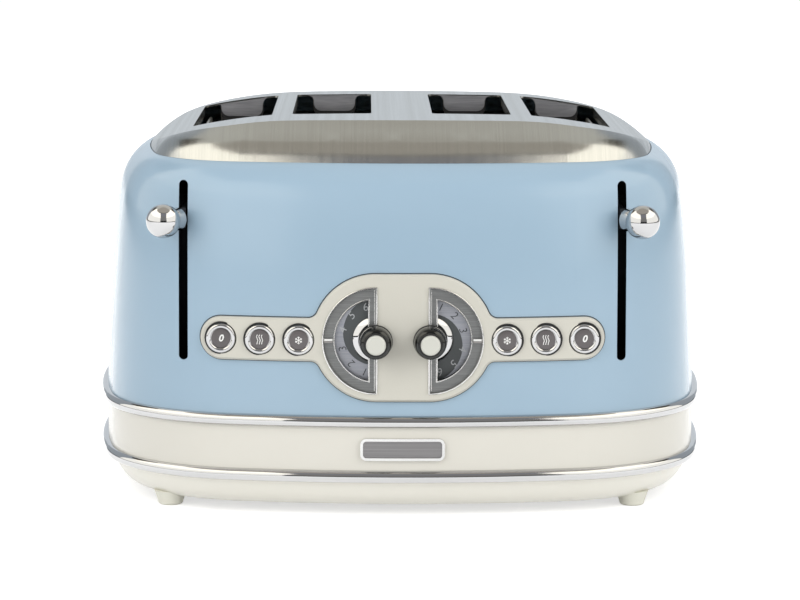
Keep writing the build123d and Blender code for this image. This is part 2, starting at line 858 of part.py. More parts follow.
def make_rear_plate():
    half = chamber_side + sheet
    y = rear_plate_y
    plate = box_between((-half, y, chamber_bottom), (half, y + sheet, chamber_top))
    wide = post_x + flange_side
    plate += box_between((-wide, y, chamber_bottom), (wide, y + rear_flange, flange_top))
    return plate - plate_slots() - pin_holes()


def make_side_plates():
    plates = [mirrored(side, (chamber_side, front_plate_y, chamber_bottom),
                       (chamber_side + sheet, rear_plate_y, chamber_top)) for side in (-1, 1)]
    return Compound(plates)


def heater_places():
    outer = slot_centres[1] + slot_width / 2 + (chamber_side - slot_centres[1] - slot_width / 2) / 2
    between = (slot_centres[0] + slot_centres[1]) / 2
    return [side * x for side in (-1, 1) for x in (heater_first, between, outer)]


def make_heater_board():
    """One board about x = 0: the wound field with four tabs that reach the end plates."""
    half = heater_wall / 2
    low = chamber_bottom + heater_rise
    high = low + heater_height
    board = box_between((-half, front_plate_y + heater_end, low), (half, rear_plate_y - heater_end, high))
    for z in (low, high - heater_tab):
        board += box_between((-half, front_plate_y, z), (half, rear_plate_y, z + heater_tab))
    return board


def make_winding():
    """Ribbon wound round one board: level runs on one face, sloping runs on the other."""
    half = heater_wall / 2
    start, end = front_plate_y + heater_end, rear_plate_y - heater_end
    low = chamber_bottom + heater_rise + ribbon_margin
    step = (heater_height - 2 * ribbon_margin - ribbon_width) / (ribbon_rows - 1)
    ribbon = Part()
    for row in range(ribbon_rows):
        z = low + row * step
        ribbon += box_between((-half - ribbon_wall, start - ribbon_wall, z), (-half, end + ribbon_wall, z + ribbon_width))
        if row < ribbon_rows - 1:
            ribbon += box_between((-half, end, z), (half, end + ribbon_wall, z + ribbon_width))
            rise = Polyline((end + ribbon_wall, z), (end + ribbon_wall, z + ribbon_width),
                            (start - ribbon_wall, z + step + ribbon_width), (start - ribbon_wall, z + step),
                            (end + ribbon_wall, z))
            ribbon += Pos(half, 0, 0) * extrude(Plane.YZ * make_face(rise), amount=ribbon_wall)
            ribbon += box_between((-half, start - ribbon_wall, z + step), (half, start, z + step + ribbon_width))
    return ribbon


def make_guide(side, centre, way):
    x = side * (centre + way * guide_offset)
    reach = slot_length / 2 - guide_margin
    first, last = slot_centre_y - reach, slot_centre_y + reach
    guide = rod_along_y(x, guide_z, guide_pin, front_plate_y - sheet - guide_pin_tail,
                        rear_plate_y + sheet + guide_pin_tail)
    top = guide_z + guide_height
    guide += rod_along_y(x, top, guide_wire, first, last)
    step = (last - first - 2 * guide_wire) / (guide_wires - 1)
    for index in range(guide_wires):
        y = first + guide_wire + index * step
        guide += Pos(x, y, (guide_z + top) / 2) * Cylinder(guide_wire, top - guide_z)
    return guide


# Crumb trays and gland.

def make_crumb_tray(side):
    rear = ring_half_depth
    low = (tray_inner, tray_front_y, tray_bottom)
    high = (tray_inner + tray_width, rear, tray_bottom + tray_height)
    tray = mirrored(side, low, high)
    tray -= mirrored(side, (low[0] + tray_wall, low[1] + tray_wall, low[2] + tray_wall),
                     (high[0] - tray_wall, rear, high[2] + tray_wall))
    tray &= plan_block(tray_cover_gap + tray_cover / 2, tray_bottom - tray_height, tray_bottom + 2 * tray_height)
    cover_low = lower_ring_top + touch_gap
    cover_high = band_top - touch_gap
    lap = tray_gap + tray_cover_lap
    room = mirrored(side, (tray_inner - lap, ring_half_depth / 2, cover_low),
                    (tray_inner + tray_width + lap, 2 * ring_half_depth, cover_high))
    tray += room & band_layer(tray_cover_gap, tray_cover_gap + tray_cover, "rear")
    middle = tray_inner + tray_width / 2
    grip = mirrored(side, (middle - grip_length / 2, ring_half_depth / 2, band_middle - grip_height / 2),
                    (middle + grip_length / 2, 2 * ring_half_depth, band_middle + grip_height / 2))
    return tray + (grip & band_layer(tray_cover_gap, tray_cover_gap + tray_cover + grip_reach, "rear"))


def make_cord_gland():
    face = ring_half_depth - ring_proud
    gland = rod_along_y(0, band_middle, gland_radius, face - band_wall - gland_tail, face + gland_plate)
    gland += rod_along_y(0, band_middle, gland_flange, face + shaft_clear, face + gland_plate)
    return gland - rod_along_y(0, band_middle, gland_bore, 0, 2 * ring_half_depth)


def build_nodes():
    """Every piece by name, in the body's own frame."""
    badge_frame, badge_plate = make_badge()
    nodes = {
        "body_shell": make_body_shell(), "top_plate": make_top_plate(),
        "upper_trim_ring": make_ring(band_top), "lower_trim_ring": make_ring(pan_top),
        "base_band": make_base_band(), "base_pan": make_base_pan(), "feet": make_feet(),
        "base_screws": make_base_screws(), "badge_frame": badge_frame, "badge_plate": badge_plate,
        "control_panel": make_control_panel(), "control_boards": make_control_boards(),
        "guide_rods": make_guide_rods(), "hold_magnets": make_magnets(),
        "chamber_front_plate": make_front_plate(), "chamber_rear_plate": make_rear_plate(),
        "chamber_side_plates": make_side_plates(), "cord_gland": make_cord_gland(),
    }
    for side, hand in ((-1, "left"), (1, "right")):
        nodes[f"{hand}_gauge_frame"] = make_gauge_frame(side)
        nodes[f"{hand}_dial_band"] = make_dial_band(side)
        nodes[f"{hand}_number_disc"] = make_number_disc(side)
        nodes[f"{hand}_browning_knob"] = make_browning_knob(side)
        nodes[f"{hand}_knob_cap"] = make_knob_cap(side)
        nodes[f"{hand}_lever_knob"] = make_lever_knob(side)
        nodes[f"{hand}_carriage"] = make_carriage(side)
        nodes[f"{hand}_bread_racks"] = make_racks(side)
        nodes[f"{hand}_return_spring"] = make_return_spring(side)
        nodes[f"{hand}_crumb_tray"] = make_crumb_tray(side)
    for name, x, front in button_places():
        nodes[f"{name}_button"] = make_button(x, front)
        nodes[f"{name}_insert"] = make_insert(x, front)
    board, winding = make_heater_board(), make_winding()
    nodes["heater_boards"] = Compound([Pos(x, 0, 0) * board for x in heater_places()])
    nodes["heater_windings"] = Compound([Pos(x, 0, 0) * winding for x in heater_places()])
    for number, (side, centre, way) in enumerate(guide_places(), 1):
        nodes[f"bread_guide_{number}"] = make_guide(side, centre, way)
    return nodes


def write_parts():
    """Every piece to its own file, moved so that the whole stands centred over the origin."""
    nodes = build_nodes()
    boxes = [shape.bounding_box() for shape in nodes.values()]
    front = min(box.min.Y for box in boxes)
    rear = max(box.max.Y for box in boxes)
    centring = Pos(0, -(front + rear) / 2, 0)
    os.makedirs("parts", exist_ok=True)
    for name, shape in nodes.items():
        solids = [centring * solid for solid in shape.solids()]
        export_step(Compound(solids) if len(solids) > 1 else solids[0], f"parts/{name}.step")
    print(len(nodes), "pieces, moved in y by", round(-(front + rear) / 2, 3))


write_parts()
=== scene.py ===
import math

import bmesh
import bpy
from mathutils import Matrix, Vector
from mathutils.bvhtree import BVHTree


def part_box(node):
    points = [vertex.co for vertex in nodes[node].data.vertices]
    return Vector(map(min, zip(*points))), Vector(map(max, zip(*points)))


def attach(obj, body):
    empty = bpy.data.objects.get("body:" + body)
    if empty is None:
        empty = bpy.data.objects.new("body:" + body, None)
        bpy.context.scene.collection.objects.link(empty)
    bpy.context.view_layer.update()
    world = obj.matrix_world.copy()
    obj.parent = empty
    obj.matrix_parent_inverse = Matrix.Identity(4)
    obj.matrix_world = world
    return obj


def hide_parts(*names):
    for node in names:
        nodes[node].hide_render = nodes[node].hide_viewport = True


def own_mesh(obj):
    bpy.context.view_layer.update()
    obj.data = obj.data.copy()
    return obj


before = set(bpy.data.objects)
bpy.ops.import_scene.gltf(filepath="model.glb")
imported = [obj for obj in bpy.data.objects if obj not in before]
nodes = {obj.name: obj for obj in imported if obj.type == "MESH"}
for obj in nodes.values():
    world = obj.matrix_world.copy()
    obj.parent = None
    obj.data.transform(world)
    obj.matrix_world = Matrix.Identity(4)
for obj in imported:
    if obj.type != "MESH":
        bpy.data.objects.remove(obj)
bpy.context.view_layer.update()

mm = 0.001
hands = {"left": -1, "right": 1}                                         # each with its direction along x
bodyMiddle = sum(corner.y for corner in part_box("body_shell")) / 2 / mm   # y of the casing's middle, in mm
print("frame loaded:", len(nodes), "nodes")

# noise patterns that the finishes share; a spread is the range of the noise that fills 0 to 1
patterns = {"cloudDetail": 3.0, "grainDetail": 2.0, "spread": (0.3, 0.7),
            "brushDetail": 4.0, "lineScale": 1.0, "bandScale": 0.12, "brushSpread": (0.32, 0.68)}


def newGroup(name, inputs, outputs):
    tree = bpy.data.node_groups.new(name, "ShaderNodeTree")
    for label, kind in inputs.items():
        tree.interface.new_socket(label, in_out="INPUT", socket_type=kind)
    for label in outputs:
        tree.interface.new_socket(label, in_out="OUTPUT", socket_type="NodeSocketFloat")
    return tree, tree.nodes.new("NodeGroupInput"), tree.nodes.new("NodeGroupOutput")


def addNoise(tree, vector, detail, spreadRange, output, interpolation="LINEAR"):
    noise = tree.nodes.new("ShaderNodeTexNoise")
    noise.inputs["Detail"].default_value = detail
    spread = tree.nodes.new("ShaderNodeMapRange")
    spread.interpolation_type = interpolation
    spread.inputs["From Min"].default_value, spread.inputs["From Max"].default_value = spreadRange
    tree.links.new(vector, noise.inputs["Vector"])
    tree.links.new(noise.outputs["Fac"], spread.inputs["Value"])
    tree.links.new(spread.outputs["Result"], output)
    return noise


def unevennessGroup():
    # broad cloudiness and fine grain over a surface, both from 0 to 1
    sockets = {"Vector": "NodeSocketVector", "Broad": "NodeSocketFloat", "Fine": "NodeSocketFloat"}
    tree, start, end = newGroup("surfaceUnevenness", sockets, ("Cloud", "Grain"))
    for label, detail, output in (("Broad", "cloudDetail", "Cloud"), ("Fine", "grainDetail", "Grain")):
        noise = addNoise(tree, start.outputs["Vector"], patterns[detail], patterns["spread"],
                         end.inputs[output], "SMOOTHSTEP")
        tree.links.new(start.outputs[label], noise.inputs["Scale"])
    return tree


def brushingGroup():
    # long fine lines, squeezed across the brushing and stretched along it
    sockets = {"Vector": "NodeSocketVector", "Squeeze": "NodeSocketVector"}
    tree, start, end = newGroup("brushedLines", sockets, ("Lines", "Bands"))
    squeeze = tree.nodes.new("ShaderNodeVectorMath")
    squeeze.operation = "MULTIPLY"
    tree.links.new(start.outputs["Vector"], squeeze.inputs[0])
    tree.links.new(start.outputs["Squeeze"], squeeze.inputs[1])
    for scale, output in (("lineScale", "Lines"), ("bandScale", "Bands")):
        noise = addNoise(tree, squeeze.outputs["Vector"], patterns["brushDetail"], patterns["brushSpread"],
                         end.inputs[output])
        noise.inputs["Scale"].default_value = patterns[scale]
    return tree


groups = {"unevenness": unevennessGroup(), "brushing": brushingGroup()}

# colour and shade are two close colours that the pattern mixes, rough is the range of the roughness,
# squeeze makes a brushed finish, and broad and fine are the scales of an unbrushed one
finishDefaults = {"metallic": 0.0, "coat": 0.0, "coatRough": 0.1, "specular": 0.5, "broad": 14.0,
                  "fine": 700.0}
finishes = {
    "bluePaint": {"colour": (0.315, 0.435, 0.535), "shade": (0.305, 0.425, 0.527), "rough": (0.17, 0.23),
                  "coat": 0.25, "specular": 0.4, "bump": 0.000006, "fine": 260.0},
    "topSteel": {"colour": (0.485, 0.49, 0.475), "shade": (0.445, 0.45, 0.435), "rough": (0.19, 0.25),
                 "metallic": 1.0, "squeeze": (2600.0, 9.0, 9.0), "bump": 0.000005},
    "trimChrome": {"colour": (0.58, 0.58, 0.58), "shade": (0.545, 0.545, 0.55), "rough": (0.03, 0.07),
                   "metallic": 1.0},
    "satinChrome": {"colour": (0.70, 0.70, 0.69), "shade": (0.64, 0.64, 0.635), "rough": (0.17, 0.26),
                    "metallic": 1.0},
    "creamPaint": {"colour": (0.66, 0.64, 0.575), "shade": (0.65, 0.63, 0.565), "rough": (0.2, 0.27),
                   "coat": 0.25, "bump": 0.000008, "fine": 300.0},
    "creamPan": {"colour": (0.86, 0.84, 0.76), "shade": (0.85, 0.83, 0.75), "rough": (0.29, 0.35),
                 "coat": 0.2, "bump": 0.000008, "fine": 300.0},
    "creamPanel": {"colour": (0.565, 0.55, 0.485), "shade": (0.555, 0.54, 0.475), "rough": (0.29, 0.36),
                   "coat": 0.1, "bump": 0.00001, "fine": 900.0},
    "footCream": {"colour": (0.76, 0.75, 0.66), "shade": (0.73, 0.72, 0.63), "rough": (0.45, 0.6),
                  "bump": 0.00002},
    "dialGrey": {"colour": (0.215, 0.22, 0.22), "shade": (0.155, 0.16, 0.16), "rough": (0.3, 0.42),
                 "metallic": 0.6, "squeeze": (60.0, 60.0, 2600.0), "bump": 0.00001},
    "discLight": {"colour": (0.34, 0.35, 0.385), "shade": (0.28, 0.29, 0.325), "rough": (0.3, 0.4),
                  "metallic": 0.3, "squeeze": (40.0, 40.0, 2200.0), "bump": 0.00001},
    "discDark": {"colour": (0.058, 0.065, 0.067), "shade": (0.048, 0.054, 0.057), "rough": (0.38, 0.46)},
    "whitePrint": {"colour": (0.80, 0.80, 0.78), "shade": (0.76, 0.76, 0.74), "rough": (0.4, 0.5)},
    "digitPrint": {"colour": (0.40, 0.41, 0.42), "shade": (0.36, 0.37, 0.38), "rough": (0.4, 0.5)},
    "digitDark": {"colour": (0.045, 0.045, 0.05), "shade": (0.035, 0.035, 0.04), "rough": (0.4, 0.5)},
    "knobDark": {"colour": (0.06, 0.061, 0.06), "shade": (0.05, 0.051, 0.05), "rough": (0.08, 0.14),
                 "metallic": 1.0},
    "capCream": {"colour": (0.58, 0.58, 0.525), "shade": (0.56, 0.56, 0.505), "rough": (0.3, 0.36),
                 "coat": 0.2},
    "insertDark": {"colour": (0.108, 0.097, 0.098), "shade": (0.092, 0.083, 0.084), "rough": (0.3, 0.4),
                   "coat": 0.1},
    # painted shade under the gauges' white index bars
    "barShadeGrey": {"colour": (0.30, 0.29, 0.28), "shade": (0.25, 0.24, 0.235), "rough": (0.29, 0.36),
                 "metallic": 0.7},
    # near black for gaps and for painted shade: button rings, knob rings and the sheets in the bread slots
    "gapAndShadeBlack": {"colour": (0.012, 0.012, 0.013), "shade": (0.009, 0.009, 0.01), "rough": (0.5, 0.6)},
    "shadowLine": {"colour": (0.045, 0.058, 0.068), "shade": (0.035, 0.046, 0.055), "rough": (0.6, 0.7)},
    "sheetSteel": {"colour": (0.36, 0.36, 0.355), "shade": (0.28, 0.28, 0.275), "rough": (0.32, 0.46),
                   "metallic": 1.0, "squeeze": (120.0, 120.0, 1400.0), "bump": 0.00002},
    # near black sheet: painted shade for the chamber front plate and carriages seen through the lever slots
    "paintedShadeSheet": {"colour": (0.03, 0.034, 0.042), "shade": (0.02, 0.024, 0.03), "rough": (0.45, 0.6),
                  "metallic": 0.5},
    "wireSteel": {"colour": (0.62, 0.61, 0.58), "shade": (0.50, 0.49, 0.46), "rough": (0.29, 0.36),
                  "metallic": 1.0},
    "micaBoard": {"colour": (0.36, 0.30, 0.21), "shade": (0.27, 0.22, 0.15), "rough": (0.4, 0.6),
                  "broad": 60.0},
    "ribbonSteel": {"colour": (0.30, 0.27, 0.24), "shade": (0.20, 0.17, 0.15), "rough": (0.35, 0.5),
                    "metallic": 1.0},
    "boardGreen": {"colour": (0.03, 0.10, 0.05), "shade": (0.025, 0.08, 0.04), "rough": (0.35, 0.45)},
    "magnetDark": {"colour": (0.05, 0.05, 0.052), "shade": (0.04, 0.04, 0.042), "rough": (0.5, 0.65)},
    "tongueSteel": {"colour": (0.28, 0.28, 0.295), "shade": (0.22, 0.22, 0.235), "rough": (0.4, 0.5),
                    "metallic": 0.25, "squeeze": (120.0, 120.0, 1400.0), "bump": 0.00002},
    "glandBlack": {"colour": (0.022, 0.022, 0.023), "shade": (0.018, 0.018, 0.019), "rough": (0.5, 0.62),
                   "bump": 0.00003},
    "badgeGrey": {"colour": (0.27, 0.265, 0.265), "shade": (0.19, 0.185, 0.19), "rough": (0.28, 0.4),
                  "metallic": 0.8, "squeeze": (9.0, 9.0, 2600.0), "bump": 0.00001},
}


def makeFinish(name):
    values = {**finishDefaults, **finishes[name]}
    material = bpy.data.materials.new(name)
    material.use_nodes = True
    tree = material.node_tree
    shader = tree.nodes["Principled BSDF"]
    shader.inputs["Metallic"].default_value = values["metallic"]
    shader.inputs["Coat Weight"].default_value = values["coat"]
    shader.inputs["Coat Roughness"].default_value = values["coatRough"]
    shader.inputs["Specular IOR Level"].default_value = values["specular"]
    place = tree.nodes.new("ShaderNodeTexCoord")
    group = tree.nodes.new("ShaderNodeGroup")
    if "squeeze" in values:
        group.node_tree = groups["brushing"]
        group.inputs["Squeeze"].default_value = values["squeeze"]
        tint, gloss, height = group.outputs["Lines"], group.outputs["Bands"], group.outputs["Lines"]
    else:
        group.node_tree = groups["unevenness"]
        group.inputs["Broad"].default_value = values["broad"]
        group.inputs["Fine"].default_value = values["fine"]
        tint, gloss, height = group.outputs["Cloud"], group.outputs["Cloud"], group.outputs["Grain"]
    tree.links.new(place.outputs["Object"], group.inputs["Vector"])
    mix = tree.nodes.new("ShaderNodeMix")
    mix.data_type = "RGBA"
    colourA, colourB = [socket for socket in mix.inputs if socket.type == "RGBA"]
    colourA.default_value = (*values["colour"], 1.0)
    colourB.default_value = (*values["shade"], 1.0)
    mixed = next(socket for socket in mix.outputs if socket.type == "RGBA")
    tree.links.new(tint, mix.inputs["Factor"])
    tree.links.new(mixed, shader.inputs["Base Color"])
    spread = tree.nodes.new("ShaderNodeMapRange")
    spread.inputs["To Min"].default_value, spread.inputs["To Max"].default_value = values["rough"]
    tree.links.new(gloss, spread.inputs["Value"])
    tree.links.new(spread.outputs["Result"], shader.inputs["Roughness"])
    if "bump" in values:
        bump = tree.nodes.new("ShaderNodeBump")
        bump.inputs["Distance"].default_value = values["bump"]
        tree.links.new(height, bump.inputs["Height"])
        tree.links.new(bump.outputs["Normal"], shader.inputs["Normal"])
    return material


materials = {name: makeFinish(name) for name in finishes}
print("finishes made:", len(materials))

# finishes of the carried-over nodes, by whole name or by the start or end of it
nodeFinishes = {
    "body_shell": "bluePaint", "top_plate": "topSteel", "upper_trim_ring": "trimChrome",
    "lower_trim_ring": "trimChrome", "base_band": "creamPaint", "base_pan": "creamPan", "feet": "footCream",
    "base_screws": "wireSteel", "badge_frame": "satinChrome", "badge_plate": "badgeGrey",
    "control_panel": "creamPanel", "control_boards": "boardGreen", "guide_rods": "wireSteel",
    # the chamber front plate and the carriages are near black as painted shade behind the lever slots
    "hold_magnets": "magnetDark", "chamber_front_plate": "paintedShadeSheet", "chamber_rear_plate": "sheetSteel",
    "chamber_side_plates": "sheetSteel", "cord_gland": "glandBlack", "heater_boards": "micaBoard",
    "heater_windings": "ribbonSteel",
}
startFinishes = {"bread_guide": "wireSteel"}
endFinishes = {
    "gauge_frame": "satinChrome", "dial_band": "dialGrey", "number_disc": "discLight",
    "browning_knob": "knobDark", "knob_cap": "capCream", "button": "trimChrome", "insert": "insertDark",
    "lever_knob": "trimChrome", "carriage": "paintedShadeSheet", "bread_racks": "wireSteel",
    "return_spring": "wireSteel", "crumb_tray": "creamPaint",
}
for name, node in nodes.items():
    choices = [finish for start, finish in startFinishes.items() if name.startswith(start)]
    choices += [finish for ending, finish in endFinishes.items() if name.endswith(ending)]
    node.data.materials.clear()
    node.data.materials.append(materials[choices[0] if choices else nodeFinishes[name]])
print("nodes finished")

# helpers for the new pieces, which are all drawn in mm about the middle of the casing
drawing = {"sharpAngle": 35, "weld": 0.0005, "softSegments": 2, "curveSteps": 6, "wireRoundness": 2,
           "probeReach": 300, "probeRows": 12}


def meshObject(name, bm, material):
    mesh = bpy.data.meshes.new(name)
    bm.to_mesh(mesh)
    bm.free()
    mesh.materials.append(material)
    thing = bpy.data.objects.new(name, mesh)
    bpy.context.scene.collection.objects.link(thing)
    return thing


def placePiece(name, bm, body, finish, stands=()):
    # makes a drawing a piece that rides on a body, in the place of the nodes in stands
    place = Matrix.Scale(mm, 4) @ Matrix.Translation((0, bodyMiddle, 0))
    bmesh.ops.transform(bm, matrix=place, verts=bm.verts)
    piece = meshObject(name, bm, materials[finish])
    for face in piece.data.polygons:
        face.use_smooth = True
    piece.data.set_sharp_from_angle(angle=math.radians(drawing["sharpAngle"]))
    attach(piece, body)
    if stands:
        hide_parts(*stands)
    return piece


def nodeBox(name):
    # lowest and highest corner of a node in mm, about the middle of the casing
    low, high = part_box(name)
    shift = Vector((0, bodyMiddle, 0))
    return low / mm - shift, high / mm - shift


def quarterTurn(steps):
    return [math.radians(90 * step / steps) for step in range(steps + 1)]


def drawChain(bm, points):
    # points, each joined to the next by an edge
    line = [bm.verts.new(point) for point in points]
    return line, [bm.edges.new(pair) for pair in zip(line, line[1:])]


def turnProfile(bm, profile, x, z, steps=64, sweep=360, first=0):
    # spins a line of (radius, y) points about an axis along y
    turn = Matrix.Translation((x, 0, z)) @ Matrix.Rotation(math.radians(first), 4, "Y")
    line, edges = drawChain(bm, [turn @ Vector((radius, y, 0)) for radius, y in profile])
    bmesh.ops.spin(bm, geom=line + edges, cent=(x, 0, z), axis=(0, 1, 0), angle=math.radians(sweep),
                   steps=steps, use_merge=sweep == 360)
    bmesh.ops.remove_doubles(bm, verts=bm.verts, dist=drawing["weld"])


def softenEdges(bm, width, angle):
    # rounds the edges whose faces turn by more than an angle in degrees
    limit = math.radians(angle)
    sharp = [edge for edge in bm.edges if len(edge.link_faces) == 2 and edge.calc_face_angle(0) > limit]
    bmesh.ops.bevel(bm, geom=sharp, offset=width, segments=drawing["softSegments"], profile=0.5,
                    affect="EDGES", material=-1, clamp_overlap=True)


def fillEnds(bm):
    bmesh.ops.holes_fill(bm, edges=[edge for edge in bm.edges if edge.is_boundary])


def faceOutward(bm):
    bmesh.ops.recalc_face_normals(bm, faces=bm.faces)


def thicken(bm, face, move):
    # draws a flat face out along a vector
    drawn = bmesh.ops.extrude_face_region(bm, geom=[face])["geom"]
    moved = [item for item in drawn if isinstance(item, bmesh.types.BMVert)]
    bmesh.ops.translate(bm, vec=move, verts=moved)


def addDrawn(bm, source, matrix):
    # adds the mesh of a text or curve object, moved by a matrix
    mesh = bpy.data.meshes.new_from_object(source)
    mesh.transform(matrix)
    bm.from_mesh(mesh)
    data = source.data
    bpy.data.objects.remove(source)
    bpy.data.curves.remove(data)
    bpy.data.meshes.remove(mesh)


def facing(x, y, z, turn=0.0):
    # matrix that stands a flat drawing up, facing the front, with its middle at a point
    return (Matrix.Translation((x, y, z)) @ Matrix.Rotation(math.radians(90), 4, "X")
            @ Matrix.Rotation(math.radians(turn), 4, "Z"))


def drawText(text, size, depth, shear, weight):
    curve = bpy.data.curves.new("drawnText", "FONT")
    curve.body = text
    curve.size = size
    curve.align_x = "CENTER"
    curve.align_y = "CENTER"
    curve.shear = shear
    curve.offset = weight
    curve.extrude = depth
    curve.resolution_u = drawing["curveSteps"]
    return bpy.data.objects.new("drawnText", curve)


def newWire(radius, roundness):
    curve = bpy.data.curves.new("drawnWire", "CURVE")
    curve.dimensions = "3D"
    curve.bevel_depth = radius
    curve.bevel_resolution = roundness
    curve.use_fill_caps = True
    return curve


def drawLines(lines, radius, smooth=True):
    curve = newWire(radius, drawing["wireRoundness"])
    curve.resolution_u = drawing["curveSteps"]
    for points in lines:
        spline = curve.splines.new("BEZIER")
        spline.bezier_points.add(len(points) - 1)
        for knot, point in zip(spline.bezier_points, points):
            knot.co = (*point, 0.0)
            knot.handle_left_type = knot.handle_right_type = "AUTO" if smooth else "VECTOR"
    return bpy.data.objects.new("drawnWire", curve)


def surfaceTree(name):
    mesh = nodes[name].data
    corners = [vertex.co for vertex in mesh.vertices]
    return BVHTree.FromPolygons(corners, [face.vertices for face in mesh.polygons])


def frontOf(tree, x, z):
    # y of the foremost surface at a place on the front view, and across a hole the mean of both its sides
    for rise in range(drawing["probeRows"]):
        starts = [Vector((x, bodyMiddle - drawing["probeReach"], z + way * rise)) for way in (-1, 1)]
        hits = [tree.ray_cast(start * mm, Vector((0, 1, 0)))[0] for start in starts]
        if all(hits):
            return sum(hit.y for hit in hits) / 2 / mm - bodyMiddle


# push buttons: a turned cap with its stem, and a dark face in the cap
pushButton = {"seat": 4.95, "dish": 0.55, "dishStart": 6.0, "dishSteps": 6, "rimRound": 1.0, "rimSteps": 7,
              "capDepth": 5.0, "stem": 2.2, "faceCrown": 0.12, "faceShoulder": (0.6, 0.08),
              "faceEdge": 0.02, "faceRound": 0.35, "faceRoundMiddle": (0.3, 0.35)}


def makeCap(name):
    low, high = nodeBox(name + "_button")
    x, z, front, radius = (low.x + high.x) / 2, (low.z + high.z) / 2, low.y, (high.x - low.x) / 2
    seat, crown = pushButton["seat"], pushButton["dishStart"]
    depth = nodeBox(name + "_insert")[1].y - front
    profile = [(0, depth), (seat, depth)]
    for step in range(pushButton["dishSteps"] + 1):                    # dished rim, rising to its crown
        share = step / pushButton["dishSteps"]
        profile.append((seat + (crown - seat) * share, pushButton["dish"] * (1 - share) ** 2))
    for angle in quarterTurn(pushButton["rimSteps"])[1:]:              # rounded outer edge
        profile.append((crown + (radius - crown) * math.sin(angle),
                        pushButton["rimRound"] * (1 - math.cos(angle))))
    back, stem = pushButton["capDepth"], pushButton["stem"]
    profile += [(radius, back), (stem, back), (stem, high.y - front), (0, high.y - front)]
    bm = bmesh.new()
    turnProfile(bm, [(reach, front + y) for reach, y in profile], x, z)
    faceOutward(bm)
    placePiece(name.replace("_", "-") + "-cap", bm, name, "trimChrome", (name + "_button",))
    return x, z, front


def makeFace(name, x, z):
    low, high = nodeBox(name + "_insert")
    radius, face, edge = (high.x - low.x) / 2, low.y, pushButton["faceRound"]
    shoulder, shoulderRise = pushButton["faceShoulder"]
    inward, backward = pushButton["faceRoundMiddle"]
    crown = face - pushButton["faceCrown"]
    bm = bmesh.new()
    turnProfile(bm, [(0, crown), (radius * shoulder, face - shoulderRise),
                     (radius - edge, face + pushButton["faceEdge"]),
                     (radius - edge * inward, face + edge * backward), (radius, face + edge),
                     (radius, high.y), (0, high.y)], x, z)
    faceOutward(bm)
    placePiece(name.replace("_", "-") + "-face", bm, name, "insertDark", (name + "_insert",))
    return crown


# marks on the buttons: a zero, three waves and a snowflake
buttonMark = {"proud": 0.08, "zeroSize": 4.6, "zeroShear": 0.22, "zeroWeight": 0.13,
              "wave": ((0.05, 2.35), (-0.3, 1.5), (0.0, 0.5), (0.3, -0.4), (0.0, -1.35), (-0.15, -2.35)),
              "waveShifts": (-1.15, 0.0, 1.15), "waveRadius": 0.19,
              "flakeTurns": (30, 90, 150, 210, 270, 330), "flakeReach": 1.85, "flakeRadius": 0.17,
              "branchStart": 1.05, "branchEnd": 1.55, "branchWidth": 0.5}


def drawMark(kind):
    if kind == "stop":
        return drawText("0", buttonMark["zeroSize"], buttonMark["proud"], buttonMark["zeroShear"],
                        buttonMark["zeroWeight"])
    if kind == "reheat":
        lines = [[(dx + shift, dy) for dx, dy in buttonMark["wave"]] for shift in buttonMark["waveShifts"]]
        return drawLines(lines, buttonMark["waveRadius"])
    lines = []
    for turn in buttonMark["flakeTurns"]:
        angle = math.radians(turn)
        out = Vector((math.cos(angle), math.sin(angle)))
        side = Vector((-out.y, out.x)) * buttonMark["branchWidth"]
        lines.append([(0.0, 0.0), tuple(out * buttonMark["flakeReach"])])
        for way in (-1, 1):
            end = out * buttonMark["branchEnd"] + side * way
            lines.append([tuple(out * buttonMark["branchStart"]), tuple(end)])
    return drawLines(lines, buttonMark["flakeRadius"], smooth=False)


def makeMark(name, kind, x, z, face):
    bm = bmesh.new()
    addDrawn(bm, drawMark(kind), facing(x, face, z))
    placePiece(name.replace("_", "-") + "-mark", bm, name, "whitePrint")


# dark rings round the buttons: the gap as painted shadow, a little to one side and up as their shadow is
buttonRing = {"inner": 7.3, "width": 0.75, "proud": 0.35, "sink": 1.6, "depth": 1.6, "shift": (0.08, 0.12),
              "innerEdge": (0.12, 0.1), "outerEdge": (0.2, 0.2), "steps": 56}


def addRing(bm, x, z, front):
    y = front + buttonRing["sink"]
    top, back = y - buttonRing["proud"], y + buttonRing["depth"]
    inner, outer = buttonRing["inner"], buttonRing["inner"] + buttonRing["width"]
    innerAcross, innerBack = buttonRing["innerEdge"]
    outerAcross, outerBack = buttonRing["outerEdge"]
    shiftX, shiftZ = buttonRing["shift"]
    turnProfile(bm, [(inner, back), (inner, top + innerBack), (inner + innerAcross, top),
                     (outer - outerAcross, top), (outer, top + outerBack), (outer, back)],
                x + shiftX, z + shiftZ, buttonRing["steps"])


rings = bmesh.new()
for hand in hands:
    for kind in ("stop", "reheat", "defrost"):
        name = f"{hand}_{kind}"
        x, z, front = makeCap(name)
        makeMark(name, kind, x, z, makeFace(name, x, z))
        addRing(rings, x, z, front)
faceOutward(rings)
placePiece("button-gap-shadow-rings", rings, "casing", "gapAndShadeBlack")
print("push buttons made")

